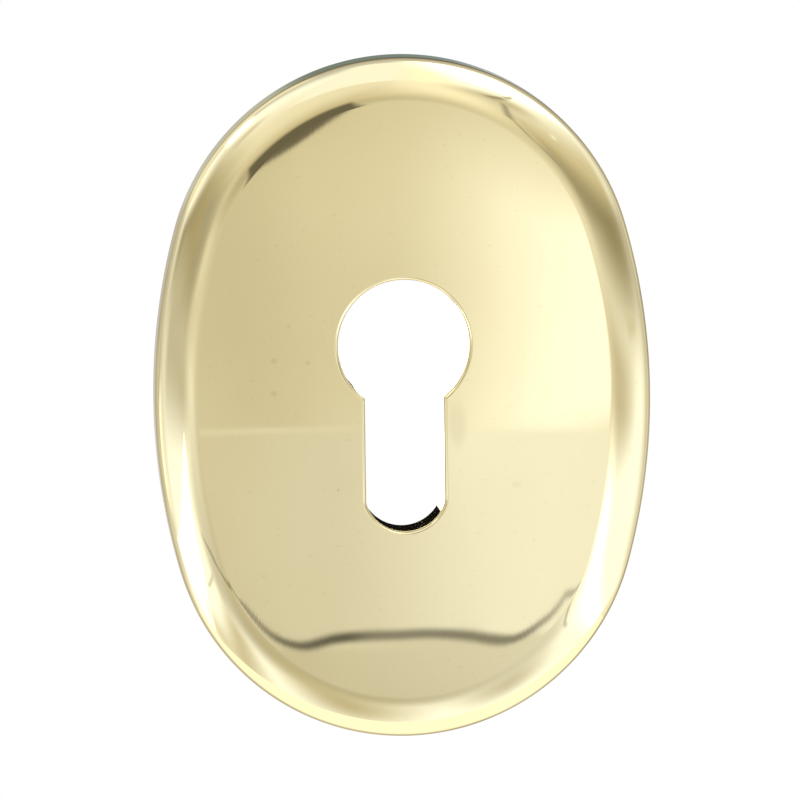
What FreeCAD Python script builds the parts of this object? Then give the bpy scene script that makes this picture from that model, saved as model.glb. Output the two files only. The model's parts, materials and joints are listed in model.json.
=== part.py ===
"""Keyhole escutcheon: an oval cast brass plate with a rolled rim and a profile cylinder cut-out.

The plate stands as it does on the door: +Z is up, the front faces -Y and the back seats on
the plane y = 0. The origin is where the axis of the cut-out's round meets that plane.
"""
import FreeCAD, Part
import Sketcher
import math
import os

NODE = "escutcheon_plate"
CLOSE = 1e-3

DIMENSIONS = (
    ("plate_width", 66.0, "across the oval"),
    ("plate_height", 91.0, "along the oval"),
    ("side_radius", 84.5, "long arcs at the sides of the oval"),
    ("plate_depth", 6.0, "door to front face"),
    ("rim_width", 5.6, "side wall to the flat of the face"),
    ("crown_radius", 10.0, "large arc of the rim, tangent to the face"),
    ("edge_radius", 1.0, "small arc of the rim, tangent to the side wall"),
    ("bore_radius", 8.75, "round of the cut-out"),
    ("bore_rise", 7.3, "axis of the round above the middle of the oval"),
    ("slot_width", 10.5, "straight slot of the cut-out"),
    ("slot_reach", 24.95, "axis of the round down to the end of the slot"),
    ("slot_end_ease", 0.25, "arc that ends the slot, beyond half the slot's width"),
    ("nose_radius", 0.5, "corner between the round and the slot"),
    ("heel_radius", 2.0, "corner between the slot's sides and its end"),
    ("edge_break", 0.4, "rounded front edge of the cut-out"),
    ("land_width", 3.2, "seat left round the outside of the back"),
    ("collar_wall", 2.8, "seat left round the cut-out"),
    ("relief_depth", 2.4, "hollow of the casting, from the door"),
    ("waist_radius", 1.5, "corner of the hollow beside the collar"),
    ("foot_chamfer", 0.9, "sloped foot of the hollow's walls"),
)


def add_dimensions(doc):
    """Keep the driving sizes in one sheet, one named cell each."""
    sheet = doc.addObject("Spreadsheet::Sheet", "Dimensions")
    for row, (name, value, note) in enumerate(DIMENSIONS, start=1):
        sheet.set("A%d" % row, name)
        sheet.set("B%d" % row, str(value))
        sheet.setAlias("B%d" % row, name)
        sheet.set("C%d" % row, note)
    doc.recompute()
    return sheet


def cell(name):
    return "Dimensions." + name


def origin_plane(body, role):
    return next(feature for feature in body.Origin.OriginFeatures if feature.Role == role)


def start(curve):
    """Name a curve's start the way a constraint does, by the curve's number and the point's."""
    return curve, 1


def end(curve):
    return curve, 2


def centre(curve):
    return curve, 3


def origin():
    return -1, 1


def add_sketch(body, name, role):
    sketch = body.newObject("Sketcher::SketchObject", name)
    sketch.AttachmentSupport = [(origin_plane(body, role), "")]
    sketch.MapMode = "FlatFace"
    return sketch


def drive(sketch, name, constraint, expression):
    """Add a named constraint and tie its value to the sheet."""
    index = sketch.addConstraint(constraint)
    sketch.renameConstraint(index, name)
    sketch.setExpression("Constraints." + name, expression)


def relate(sketch, kind, *places):
    sketch.addConstraint(Sketcher.Constraint(kind, *places))


def keep_on_upright_axis(sketch, point):
    relate(sketch, "PointOnObject", *point, -2)


def join_chain(sketch, kind, chain):
    """Join each curve's end to the start of the one after it."""
    for one, following in zip(chain, chain[1:]):
        relate(sketch, kind, *end(one), *start(following))


def add_arc(sketch, middle, radius, first_angle, last_angle):
    circle = Part.Circle(FreeCAD.Vector(*middle, 0), FreeCAD.Vector(0, 0, 1), radius)
    return sketch.addGeometry(Part.ArcOfCircle(circle, first_angle, last_angle))


def add_line(sketch, first, last):
    return sketch.addGeometry(Part.LineSegment(FreeCAD.Vector(*first, 0), FreeCAD.Vector(*last, 0)))


def end_radius(sheet):
    """Radius of the arcs that close the oval, tangent to its side arcs at its width and height."""
    half_width = sheet.plate_width / 2
    half_height = sheet.plate_height / 2
    square = half_width**2 + half_height**2 - 2 * sheet.side_radius * half_width
    return square / (2 * (half_height - sheet.side_radius))


def draw_oval(sketch, sheet, inset_name=None):
    """Draw the oval of tangent arcs, or the oval that lies inset_name inside it.

    The top arc is drawn as two halves, so that a vertex lies on the centre line.
    """
    inset = getattr(sheet, inset_name) if inset_name else 0.0
    inset_term = " - " + cell(inset_name) if inset_name else ""
    end_arc = end_radius(sheet) - inset
    side_arc = sheet.side_radius - inset
    lift = sheet.plate_height / 2 - end_radius(sheet)
    offset = sheet.side_radius - sheet.plate_width / 2
    turn = math.atan2(lift, offset)
    level = -sheet.bore_rise
    top_left = add_arc(sketch, (0, level + lift), end_arc, math.pi / 2, math.pi - turn)
    left = add_arc(sketch, (offset, level), side_arc, math.pi - turn, math.pi + turn)
    bottom = add_arc(sketch, (0, level - lift), end_arc, math.pi + turn, 2 * math.pi - turn)
    right = add_arc(sketch, (-offset, level), side_arc, -turn, turn)
    top_right = add_arc(sketch, (0, level + lift), end_arc, turn, math.pi / 2)
    join_chain(sketch, "Tangent", (top_left, left, bottom, right, top_right))
    relate(sketch, "Coincident", *end(top_right), *start(top_left))
    relate(sketch, "Coincident", *centre(top_right), *centre(top_left))
    for point in (start(top_left), centre(top_left), centre(bottom)):
        keep_on_upright_axis(sketch, point)
    relate(sketch, "Equal", top_left, bottom)
    relate(sketch, "Equal", left, right)
    drive(sketch, "side_arc", Sketcher.Constraint("Radius", left, side_arc),
          cell("side_radius") + inset_term)
    drive(sketch, "side_centre",
          Sketcher.Constraint("DistanceX", *origin(), *centre(left), offset),
          "%s - %s / 2" % (cell("side_radius"), cell("plate_width")))
    drive(sketch, "middle",
          Sketcher.Constraint("DistanceY", *centre(left), *origin(), sheet.bore_rise),
          cell("bore_rise"))
    drive(sketch, "top",
          Sketcher.Constraint("DistanceY", *origin(), *start(top_left), level + lift + end_arc),
          "%s / 2 - %s" % (cell("plate_height"), cell("bore_rise")) + inset_term)


def waist_height(sheet, growth=0.0):
    """Height at which the round meets the slot, on the outline grown by growth."""
    return -math.sqrt((sheet.bore_radius + growth)**2 - (sheet.slot_width / 2 + growth)**2)


def heel_height(sheet, growth=0.0):
    """Height at which the slot's sides meet its end, on the outline grown by growth."""
    half_slot = sheet.slot_width / 2
    end_arc = half_slot + sheet.slot_end_ease
    rise = math.sqrt((end_arc + growth)**2 - (half_slot + growth)**2)
    return end_arc - sheet.slot_reach - rise


def draw_keyhole(sketch, sheet, growth_name=None):
    """Draw the round over the straight slot, or the same outline grown by growth_name."""
    growth = getattr(sheet, growth_name) if growth_name else 0.0
    growth_term = " + " + cell(growth_name) if growth_name else ""
    bore = sheet.bore_radius + growth
    half_slot = sheet.slot_width / 2 + growth
    end_arc = half_slot + sheet.slot_end_ease
    end_level = end_arc - growth - sheet.slot_reach
    waist = waist_height(sheet, growth)
    heel = heel_height(sheet, growth)
    mouth = math.acos(half_slot / bore)
    corner = math.acos(half_slot / end_arc)
    bore_arc = add_arc(sketch, (0, 0), bore, -mouth, math.pi + mouth)
    left = add_line(sketch, (-half_slot, waist), (-half_slot, heel))
    bottom = add_arc(sketch, (0, end_level), end_arc, math.pi + corner, 2 * math.pi - corner)
    right = add_line(sketch, (half_slot, heel), (half_slot, waist))
    join_chain(sketch, "Coincident", (bore_arc, left, bottom, right, bore_arc))
    relate(sketch, "Coincident", *centre(bore_arc), *origin())
    keep_on_upright_axis(sketch, centre(bottom))
    relate(sketch, "Vertical", left)
    relate(sketch, "Vertical", right)
    drive(sketch, "bore", Sketcher.Constraint("Radius", bore_arc, bore),
          cell("bore_radius") + growth_term)
    drive(sketch, "slot_end", Sketcher.Constraint("Radius", bottom, end_arc),
          "%s / 2 + %s" % (cell("slot_width"), cell("slot_end_ease")) + growth_term)
    drive(sketch, "half_slot",
          Sketcher.Constraint("DistanceX", *origin(), *start(right), half_slot),
          cell("slot_width") + " / 2" + growth_term)
    drive(sketch, "other_half",
          Sketcher.Constraint("DistanceX", *start(left), *origin(), half_slot),
          cell("slot_width") + " / 2" + growth_term)
    drive(sketch, "reach",
          Sketcher.Constraint("DistanceY", *centre(bottom), *origin(), -end_level),
          "%s - %s / 2 - %s" % (cell("slot_reach"), cell("slot_width"), cell("slot_end_ease")))


def draw_rim_waste(sketch, sheet):
    """Draw the section that is cleared in front of the rim, at the top of the oval.

    The rim's curve is two tangent arcs: a large one that leaves the face and a small one
    that meets the side wall.
    """
    top = sheet.plate_height / 2 - sheet.bore_rise
    face = -sheet.plate_depth
    crown = sheet.crown_radius
    small = sheet.edge_radius
    clear = sheet.rim_width
    flat_end = top - sheet.rim_width
    tilt = math.asin((sheet.rim_width - small) / (crown - small))
    wall_end = face + crown - (crown - small) * math.cos(tilt)
    crown_arc = add_arc(sketch, (face + crown, flat_end), crown, math.pi - tilt, math.pi)
    edge_arc = add_arc(sketch, (wall_end, top - small), small, math.pi / 2, math.pi - tilt)
    up = add_line(sketch, (wall_end, top), (wall_end, top + clear))
    across = add_line(sketch, (wall_end, top + clear), (face - clear, top + clear))
    down = add_line(sketch, (face - clear, top + clear), (face - clear, flat_end))
    back = add_line(sketch, (face - clear, flat_end), (face, flat_end))
    join_chain(sketch, "Tangent", (edge_arc, crown_arc))
    relate(sketch, "Coincident", *start(edge_arc), *start(up))
    join_chain(sketch, "Coincident", (up, across, down, back))
    relate(sketch, "Coincident", *end(back), *end(crown_arc))
    for line in (up, down):
        relate(sketch, "Vertical", line)
    for line in (across, back):
        relate(sketch, "Horizontal", line)
    relate(sketch, "Horizontal", *centre(crown_arc), *end(crown_arc))
    relate(sketch, "Vertical", *centre(edge_arc), *start(edge_arc))
    drive(sketch, "crown", Sketcher.Constraint("Radius", crown_arc, crown), cell("crown_radius"))
    drive(sketch, "small", Sketcher.Constraint("Radius", edge_arc, small), cell("edge_radius"))
    drive(sketch, "face",
          Sketcher.Constraint("DistanceX", *end(crown_arc), *origin(), -face),
          cell("plate_depth"))
    drive(sketch, "top",
          Sketcher.Constraint("DistanceY", *origin(), *start(edge_arc), top),
          "%s / 2 - %s" % (cell("plate_height"), cell("bore_rise")))
    drive(sketch, "rim",
          Sketcher.Constraint("DistanceY", *end(crown_arc), *start(edge_arc), sheet.rim_width),
          cell("rim_width"))
    drive(sketch, "clear_out", Sketcher.Constraint("DistanceY", *start(up), *end(up), clear),
          cell("rim_width"))
    drive(sketch, "clear_front",
          Sketcher.Constraint("DistanceX", *start(back), *end(back), clear),
          cell("rim_width"))


def level_edges(shape, depth, reach=None):
    """Name the edges in the plane y = -depth, only those within reach of the Y axis if given."""
    names = []
    for number, edge in enumerate(shape.Edges, start=1):
        box = edge.BoundBox
        level = abs(box.YMin + depth) < CLOSE and abs(box.YMax + depth) < CLOSE
        far = max(-box.XMin, box.XMax, -box.ZMin, box.ZMax)
        if level and (reach is None or far < reach):
            names.append("Edge%d" % number)
    return names


def standing_edges(shape, half_width, height):
    """Name the two straight edges along Y at x = +-half_width and z = height."""
    names = []
    for number, edge in enumerate(shape.Edges, start=1):
        box = edge.BoundBox
        upright = box.XLength < CLOSE and box.ZLength < CLOSE
        if upright and abs(abs(box.XMin) - half_width) < CLOSE and abs(box.ZMin - height) < CLOSE:
            names.append("Edge%d" % number)
    return names


def dress_edges(body, kind, name, edges, size_property, size):
    """Add a fillet or a chamfer of a named size on edges of the body's last feature."""
    base = body.Tip
    dressing = body.newObject("PartDesign::" + kind, name)
    dressing.Base = (base, edges)
    dressing.setExpression(size_property, cell(size))
    return dressing


def add_fillet(body, name, edges, size):
    return dress_edges(body, "Fillet", name, edges, "Radius", size)


def add_chamfer(body, name, edges, size):
    return dress_edges(body, "Chamfer", name, edges, "Size", size)


def add_pocket(body, name, sketch, size=None):
    """Cut from the seat towards the front, by a named depth or right through."""
    pocket = body.newObject("PartDesign::Pocket", name)
    pocket.Profile = sketch
    pocket.Reversed = True
    if size is None:
        pocket.Type = "ThroughAll"
    else:
        pocket.setExpression("Length", cell(size))
    return pocket


def settle(doc, body, feature, grows):
    """Recompute and see that the feature changed the body's volume the way it should."""
    before = 0.0 if body.Shape.isNull() else body.Shape.Volume
    doc.recompute()
    change = feature.Shape.Volume - before
    if abs(change) < 1e-3 or (change > 0) != grows:
        raise ValueError("%s changes the volume by %.3f" % (feature.Name, change))


def build_plate(doc, sheet):
    body = doc.addObject("PartDesign::Body", NODE)
    body.Label = NODE

    outline = add_sketch(body, "Outline", "XZ_Plane")
    draw_oval(outline, sheet)
    blank = body.newObject("PartDesign::Pad", "Blank")
    blank.Profile = outline
    blank.setExpression("Length", cell("plate_depth"))
    settle(doc, body, blank, True)

    section = add_sketch(body, "RimSection", "YZ_Plane")
    draw_rim_waste(section, sheet)
    rim = body.newObject("PartDesign::SubtractivePipe", "Rim")
    rim.Profile = section
    rim.Spine = (outline, [])
    settle(doc, body, rim, False)

    seat = add_sketch(body, "SeatOutline", "XZ_Plane")
    draw_oval(seat, sheet, "land_width")
    draw_keyhole(seat, sheet, "collar_wall")
    relief = add_pocket(body, "BackRelief", seat, "relief_depth")
    settle(doc, body, relief, False)

    keyhole = add_sketch(body, "Keyhole", "XZ_Plane")
    draw_keyhole(keyhole, sheet)
    cut_out = add_pocket(body, "CutOut", keyhole)
    settle(doc, body, cut_out, False)

    half_slot = sheet.slot_width / 2
    noses = standing_edges(body.Shape, half_slot, waist_height(sheet))
    settle(doc, body, add_fillet(body, "Noses", noses, "nose_radius"), False)
    heels = standing_edges(body.Shape, half_slot, heel_height(sheet))
    settle(doc, body, add_fillet(body, "Heels", heels, "heel_radius"), True)

    wall = sheet.collar_wall
    waists = standing_edges(body.Shape, half_slot + wall, waist_height(sheet, wall))
    settle(doc, body, add_fillet(body, "CollarWaists", waists, "waist_radius"), True)
    corners = standing_edges(body.Shape, half_slot + wall, heel_height(sheet, wall))
    settle(doc, body, add_fillet(body, "CollarHeels", corners, "heel_radius"), False)

    foot = level_edges(body.Shape, sheet.relief_depth)
    settle(doc, body, add_chamfer(body, "ReliefFoot", foot, "foot_chamfer"), True)

    front = level_edges(body.Shape, sheet.plate_depth, sheet.slot_reach + CLOSE)
    settle(doc, body, add_fillet(body, "FrontBreak", front, "edge_break"), False)

    return body


def check(doc):
    """Stop if any object failed or holds a bad shape."""
    for item in doc.Objects:
        if "Invalid" in item.State or "Error" in item.State:
            raise ValueError("%s is %s" % (item.Name, item.State))
        shape = getattr(item, "Shape", None)
        if item.isDerivedFrom("PartDesign::Body") and (shape.isNull() or not shape.isValid()):
            raise ValueError("%s has a bad shape" % item.Name)


def main():
    doc = FreeCAD.newDocument("KeyholeEscutcheon")
    sheet = add_dimensions(doc)
    plate = build_plate(doc, sheet)
    check(doc)
    os.makedirs("parts", exist_ok=True)
    plate.Shape.exportStep(os.path.join("parts", plate.Label + ".step"))


main()
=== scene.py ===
"""Keyhole escutcheon: the polished brass plate, the stage it is shown on and the camera.

The sizes are in metres and follow the solid model: +Z is up, the front faces -Y, the back
seats on the plane y = 0 and the origin lies on the axis of the cut-out's round.
"""
import json
import math

import bmesh
import bpy
from bpy.props import FloatProperty, FloatVectorProperty, IntProperty, PointerProperty
from mathutils import Matrix, Vector


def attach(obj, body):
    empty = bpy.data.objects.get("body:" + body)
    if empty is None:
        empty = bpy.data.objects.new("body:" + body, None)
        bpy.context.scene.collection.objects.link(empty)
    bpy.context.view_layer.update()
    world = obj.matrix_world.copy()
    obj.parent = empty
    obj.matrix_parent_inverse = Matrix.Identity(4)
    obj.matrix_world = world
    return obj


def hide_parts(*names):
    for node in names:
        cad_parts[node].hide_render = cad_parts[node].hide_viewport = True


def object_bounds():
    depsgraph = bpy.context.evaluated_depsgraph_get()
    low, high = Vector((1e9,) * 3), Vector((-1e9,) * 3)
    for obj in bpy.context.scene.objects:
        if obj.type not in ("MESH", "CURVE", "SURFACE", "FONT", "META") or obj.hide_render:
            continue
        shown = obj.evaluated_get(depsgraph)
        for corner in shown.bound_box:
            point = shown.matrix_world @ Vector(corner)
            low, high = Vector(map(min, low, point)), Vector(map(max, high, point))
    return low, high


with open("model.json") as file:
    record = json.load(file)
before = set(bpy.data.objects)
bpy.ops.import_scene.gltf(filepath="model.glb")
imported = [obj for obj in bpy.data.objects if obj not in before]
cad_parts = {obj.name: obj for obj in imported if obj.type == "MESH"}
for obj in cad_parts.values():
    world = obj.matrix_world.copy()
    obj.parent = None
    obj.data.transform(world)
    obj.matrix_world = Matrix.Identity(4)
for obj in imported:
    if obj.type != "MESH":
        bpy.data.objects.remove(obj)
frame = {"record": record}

bl_info = {
    "name": "Keyhole Escutcheon",
    "version": (1, 0, 0),
    "blender": (4, 5, 0),
    "location": "3D View > Sidebar > Escutcheon",
    "description": "Builds an oval brass keyhole escutcheon with its stage and camera",
    "category": "Object",
}

NODE = "escutcheon_plate"
PIECE = "brass_escutcheon"
CAD_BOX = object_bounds()
LOW, HIGH = (Vector(corner) for corner in CAD_BOX)
BORE = next(mount for mount in frame["record"]["mounts"] if mount["kind"] == "bore")

# Facets across the two small arcs, the reach of the weld and the angle below which edges are round.
EDGE_STEPS = 14
BREAK_STEPS = 8
WELD_REACH = 1e-6
ROUND_BELOW = math.radians(32.0)


def length(name, default, description):
    return FloatProperty(name=name, default=default, description=description,
                         min=0.0, precision=5, unit="LENGTH")


def colour(name, default, description):
    return FloatVectorProperty(name=name, subtype="COLOR", size=3, min=0.0, max=1.0,
                               default=default, description=description)


class PlateSizes(bpy.types.PropertyGroup):
    """Sizes of the plate, as the solid model has them."""

    width: length("Width", HIGH.x - LOW.x, "Across the oval")
    height: length("Height", HIGH.z - LOW.z, "Along the oval")
    depth: length("Depth", HIGH.y - LOW.y, "From the door to the front face")
    rise: length("Bore rise", -(HIGH.z + LOW.z) / 2, "Axis of the round above the oval's middle")
    side_radius: length("Side radius", 0.0845, "Long arcs at the sides of the oval")
    rim_width: length("Rim width", 0.0056, "Side wall to the flat of the face")
    crown_radius: length("Crown radius", 0.010, "Large arc of the rim, tangent to the face")
    edge_radius: length("Edge radius", 0.001, "Small arc of the rim, tangent to the side wall")
    bore_radius: length("Bore radius", BORE["dims"]["r_mm"] / 1000, "Round of the cut-out")
    slot_width: length("Slot width", 0.0105, "Straight slot of the cut-out")
    slot_reach: length("Slot reach", 0.02495, "Axis of the round down to the end of the slot")
    slot_end_ease: length("Slot end ease", 0.00025, "End arc beyond half the slot's width")
    nose_radius: length("Nose radius", 0.0005, "Corner between the round and the slot")
    heel_radius: length("Heel radius", 0.002, "Corner between the slot's sides and its end")
    edge_break: length("Edge break", 0.0004, "Rounded front edge of the cut-out")
    land_width: length("Land width", 0.0032, "Seat left round the outside of the back")
    collar_wall: length("Collar wall", 0.0028, "Seat left round the cut-out")
    relief_depth: length("Relief depth", 0.0024, "Hollow of the casting, from the door")
    waist_radius: length("Waist radius", 0.0015, "Corner of the hollow beside the collar")
    foot_chamfer: length("Foot chamfer", 0.0009, "Sloped foot of the hollow's walls")
    flat_margin: length("Flat margin", 0.00015, "Flat strip beside the rim and the hollow's foot")
    edge_margin: length("Edge margin", 0.00006, "Flat strip kept beside the small rounded edges")
    spacing: length("Spacing", 0.00035, "Distance between points along the outlines")
    rim_steps: IntProperty(name="Rim steps", default=60, min=8, max=96,
                           description="Facets across the rim's large arc")


class BrassFinish(bpy.types.PropertyGroup):
    """Colours and surface of the brass."""

    brass: colour("Brass", (0.90, 0.785, 0.455), "Polished brass")
    warm_brass: colour("Warm brass", (0.86, 0.73, 0.40), "Cloudy patches in the polish")
    # Real tarnish for the specks and stains, and also the colour of the painted shade on the rim's
    # outer edge and on the cut-out's rounded edge.
    tarnish_and_shade: colour("Tarnish", (0.42, 0.36, 0.23), "Brass darkened by handling")
    cut_wall: colour("Cut wall", (0.80, 0.70, 0.46), "Walls of the cut-out")
    casting: colour("Casting", (0.52, 0.40, 0.20), "Unpolished back of the casting")
    scale: colour("Scale", (0.24, 0.17, 0.08), "Dark skin left by the mould")
    polish: FloatProperty(name="Polish", default=0.012, min=0.0, max=1.0,
                          description="Roughness of the polished face")
    brushing: FloatProperty(name="Brushing", default=0.00000012, precision=8, unit="LENGTH",
                            description="Depth of the fine upright lines in the face")
    waviness: FloatProperty(name="Waviness", default=0.000006, precision=8, unit="LENGTH",
                            description="Depth of the buffing waves in the face")
    casting_grain: FloatProperty(name="Casting grain", default=0.00006, precision=6, unit="LENGTH",
                                 description="Depth of the sand grain on the back")


class StageLook(bpy.types.PropertyGroup):
    """Camera and light."""

    azimuth: FloatProperty(name="Azimuth", default=math.radians(-5.0), subtype="ANGLE",
                           description="Camera to the left of the plate's front")
    elevation: FloatProperty(name="Elevation", default=math.radians(8.0), subtype="ANGLE",
                             description="Camera above the plate's middle")
    roll: FloatProperty(name="Roll", default=math.radians(-0.74), subtype="ANGLE",
                        description="Turn of the camera about its own axis")
    distance: length("Distance", 1.473, "Camera to the plate's face")
    lens: FloatProperty(name="Lens", default=500.0, min=10.0,
                        description="Focal length in millimetres")
    drop: length("Floor below", 0.60, "Floor below the axis of the round")
    wall_distance: length("Wall distance", 0.45, "Studio wall in front of the plate's back")
    room_level: FloatProperty(name="Room light", default=0.85, min=0.0,
                              description="Strength of the soft light from all round")
    back_lamp: FloatProperty(name="Back lamp", default=2.5, min=0.0,
                             description="Watts of the soft lamp behind the plate")


def arc_points(centre, radius, first, last, spacing, fewest=6):
    """Points along an arc, without its last one."""
    count = max(fewest, math.ceil(abs(last - first) * radius / spacing))
    angles = (first + (last - first) * step / count for step in range(count))
    return [(centre[0] + radius * math.cos(a), centre[1] + radius * math.sin(a)) for a in angles]


def line_points(first, last, spacing):
    """Points along a line, without its last one."""
    first, last = Vector(first), Vector(last)
    count = max(1, math.ceil((last - first).length / spacing))
    return [tuple(first.lerp(last, step / count)) for step in range(count)]


def oval_outline(sizes):
    """The outer outline: two end arcs and two side arcs, all tangent, anticlockwise."""
    half_width, half_height = sizes.width / 2, sizes.height / 2
    square = half_width**2 + half_height**2 - 2 * sizes.side_radius * half_width
    end_radius = square / (2 * (half_height - sizes.side_radius))
    lift = half_height - end_radius
    offset = sizes.side_radius - half_width
    turn = math.atan2(lift, offset)
    level = -sizes.rise
    step = sizes.spacing
    return (
        arc_points((-offset, level), sizes.side_radius, -turn, turn, step)
        + arc_points((0, level + lift), end_radius, turn, math.pi - turn, step)
        + arc_points((offset, level), sizes.side_radius, math.pi - turn, math.pi + turn, step)
        + arc_points((0, level - lift), end_radius, math.pi + turn, 2 * math.pi - turn, step)
    )


def keyhole_outline(sizes, growth, waist_radius):
    """The cut-out's outline grown by growth, anticlockwise from the right end of the round."""
    step = sizes.spacing
    bore = sizes.bore_radius + growth
    half = sizes.slot_width / 2 + growth
    end_arc = half + sizes.slot_end_ease
    end_level = end_arc - growth - sizes.slot_reach
    nose_x = half + waist_radius
    nose_z = -math.sqrt((bore + waist_radius) ** 2 - nose_x**2)
    mouth = math.atan2(-nose_z, nose_x)
    heel_x = half - sizes.heel_radius
    heel_z = end_level - math.sqrt((end_arc - sizes.heel_radius) ** 2 - heel_x**2)
    corner = math.atan2(end_level - heel_z, heel_x)
    heel = sizes.heel_radius
    return (
        arc_points((0, 0), bore, -mouth, math.pi + mouth, step)
        + arc_points((-nose_x, nose_z), waist_radius, mouth, 0, step, fewest=10)
        + line_points((-half, nose_z), (-half, heel_z), step * 2)
        + arc_points((-heel_x, heel_z), heel, math.pi, math.pi + corner, step, fewest=4)
        + arc_points((0, end_level), end_arc, math.pi + corner, 2 * math.pi - corner, step)
        + arc_points((heel_x, heel_z), heel, 2 * math.pi - corner, 2 * math.pi, step, fewest=4)
        + line_points((half, heel_z), (half, nose_z), step * 2)
        + arc_points((nose_x, nose_z), waist_radius, math.pi, math.pi - mouth, step, fewest=10)
    )


def outlines_object(sizes):
    """A curve object that holds the oval, the cut-out and the collar's outline, in that order."""
    curve = bpy.data.curves.new("plate_outlines", "CURVE")
    curve.dimensions = "3D"
    outlines = (
        oval_outline(sizes),
        keyhole_outline(sizes, 0.0, sizes.nose_radius),
        keyhole_outline(sizes, sizes.collar_wall, sizes.waist_radius),
    )
    for points in outlines:
        spline = curve.splines.new("POLY")
        spline.points.add(len(points) - 1)
        for point, (x, z) in zip(spline.points, points):
            point.co = (x, z, 0.0, 1.0)
        spline.use_cyclic_u = True
    holder = bpy.data.objects.new("plate_outlines", curve)
    bpy.context.scene.collection.objects.link(holder)
    return holder


def feed(tree, socket, value):
    """Link a socket, or set its value; a colour given as three numbers is opaque."""
    if isinstance(value, bpy.types.NodeSocket):
        tree.links.new(value, socket)
    elif socket.type == "RGBA" and len(value) == 3:
        socket.default_value = (*value, 1.0)
    else:
        socket.default_value = value


def put(tree, kind, sockets=None, **settings):
    """Add a node, set its settings, and link or set the sockets that are named."""
    node = tree.nodes.new(kind)
    node.location = (220 * (len(tree.nodes) // 6), -180 * (len(tree.nodes) % 6))
    for name, value in settings.items():
        setattr(node, name, value)
    for name, value in (sockets or {}).items():
        feed(tree, node.inputs[name], value)
    return node


def reckon(tree, operation, first, second=0.0, third=0.0):
    """One step of arithmetic; gives its result's socket."""
    sockets = {0: first, 1: second, 2: third}
    return put(tree, "ShaderNodeMath", sockets, operation=operation).outputs[0]


def place(tree, x, y, z=0.0):
    return put(tree, "ShaderNodeCombineXYZ", {"X": x, "Y": y, "Z": z}).outputs[0]


def join(tree, parts):
    node = tree.nodes.new("GeometryNodeJoinGeometry")
    for part in reversed(parts):
        tree.links.new(part, node.inputs[0])
    return node.outputs[0]


TREE_SIZES = (
    ("Depth", "depth"),
    ("Rim width", "rim_width"),
    ("Crown radius", "crown_radius"),
    ("Edge radius", "edge_radius"),
    ("Edge break", "edge_break"),
    ("Land width", "land_width"),
    ("Relief depth", "relief_depth"),
    ("Foot chamfer", "foot_chamfer"),
    ("Flat margin", "flat_margin"),
    ("Edge margin", "edge_margin"),
)


def section_line(tree, first, last):
    """A straight run of a section, from (out, in) to (out, in)."""
    sockets = {"Start": place(tree, *first), "End": place(tree, *last)}
    return put(tree, "GeometryNodeCurvePrimitiveLine", sockets).outputs[0]


def section_arc(tree, centre, radius, first, sweep, steps):
    """A round run of a section."""
    sockets = {"Resolution": steps, "Radius": radius, "Start Angle": first, "Sweep Angle": sweep,
               "Connect Center": False}
    arc = put(tree, "GeometryNodeCurveArc", sockets).outputs[0]
    sockets = {"Geometry": arc, "Translation": place(tree, *centre)}
    return put(tree, "GeometryNodeTransform", sockets).outputs[0]


def section_path(tree, corners):
    """Straight runs through several corners."""
    return [section_line(tree, one, following) for one, following in zip(corners, corners[1:])]


def pick_outline(tree, outlines, number):
    """One of the outlines, with its normals in the plate's plane."""
    index = put(tree, "GeometryNodeInputIndex").outputs[0]
    same = put(tree, "FunctionNodeCompare", {2: index, 3: number},
               data_type="INT", operation="EQUAL")
    chosen = put(tree, "GeometryNodeSeparateGeometry",
                 {"Geometry": outlines, "Selection": same.outputs[0]}, domain="CURVE")
    sockets = {"Curve": chosen.outputs[0]}
    return put(tree, "GeometryNodeSetCurveNormal", sockets, mode="Z_UP").outputs[0]


def sweep(tree, outline, section):
    """Carry a section round an outline: its X lies outwards and its Y towards the door."""
    sockets = {"Curve": outline, "Profile Curve": join(tree, section)}
    return put(tree, "GeometryNodeCurveToMesh", sockets).outputs[0]


def grow(tree, outline, distance):
    """The outline moved outwards by distance, as the swept sections move."""
    normal = put(tree, "GeometryNodeInputNormal").outputs[0]
    moved = put(tree, "ShaderNodeVectorMath", {0: normal, "Scale": distance}, operation="SCALE")
    sockets = {"Geometry": outline, "Offset": moved.outputs[0]}
    return put(tree, "GeometryNodeSetPosition", sockets).outputs[0]


def fill_between(tree, outer, inner, height):
    """A flat between two closed outlines, at height above the door."""
    flat = put(tree, "GeometryNodeFillCurve", {"Curve": join(tree, [outer, inner])}).outputs[0]
    sockets = {"Geometry": flat, "Translation": place(tree, 0.0, 0.0, height)}
    return put(tree, "GeometryNodeTransform", sockets).outputs[0]


def mark_back(tree, geometry):
    sockets = {"Geometry": geometry, "Name": "cast_back", "Value": True}
    return put(tree, "GeometryNodeStoreNamedAttribute", sockets,
               data_type="BOOLEAN", domain="FACE").outputs[0]


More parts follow.
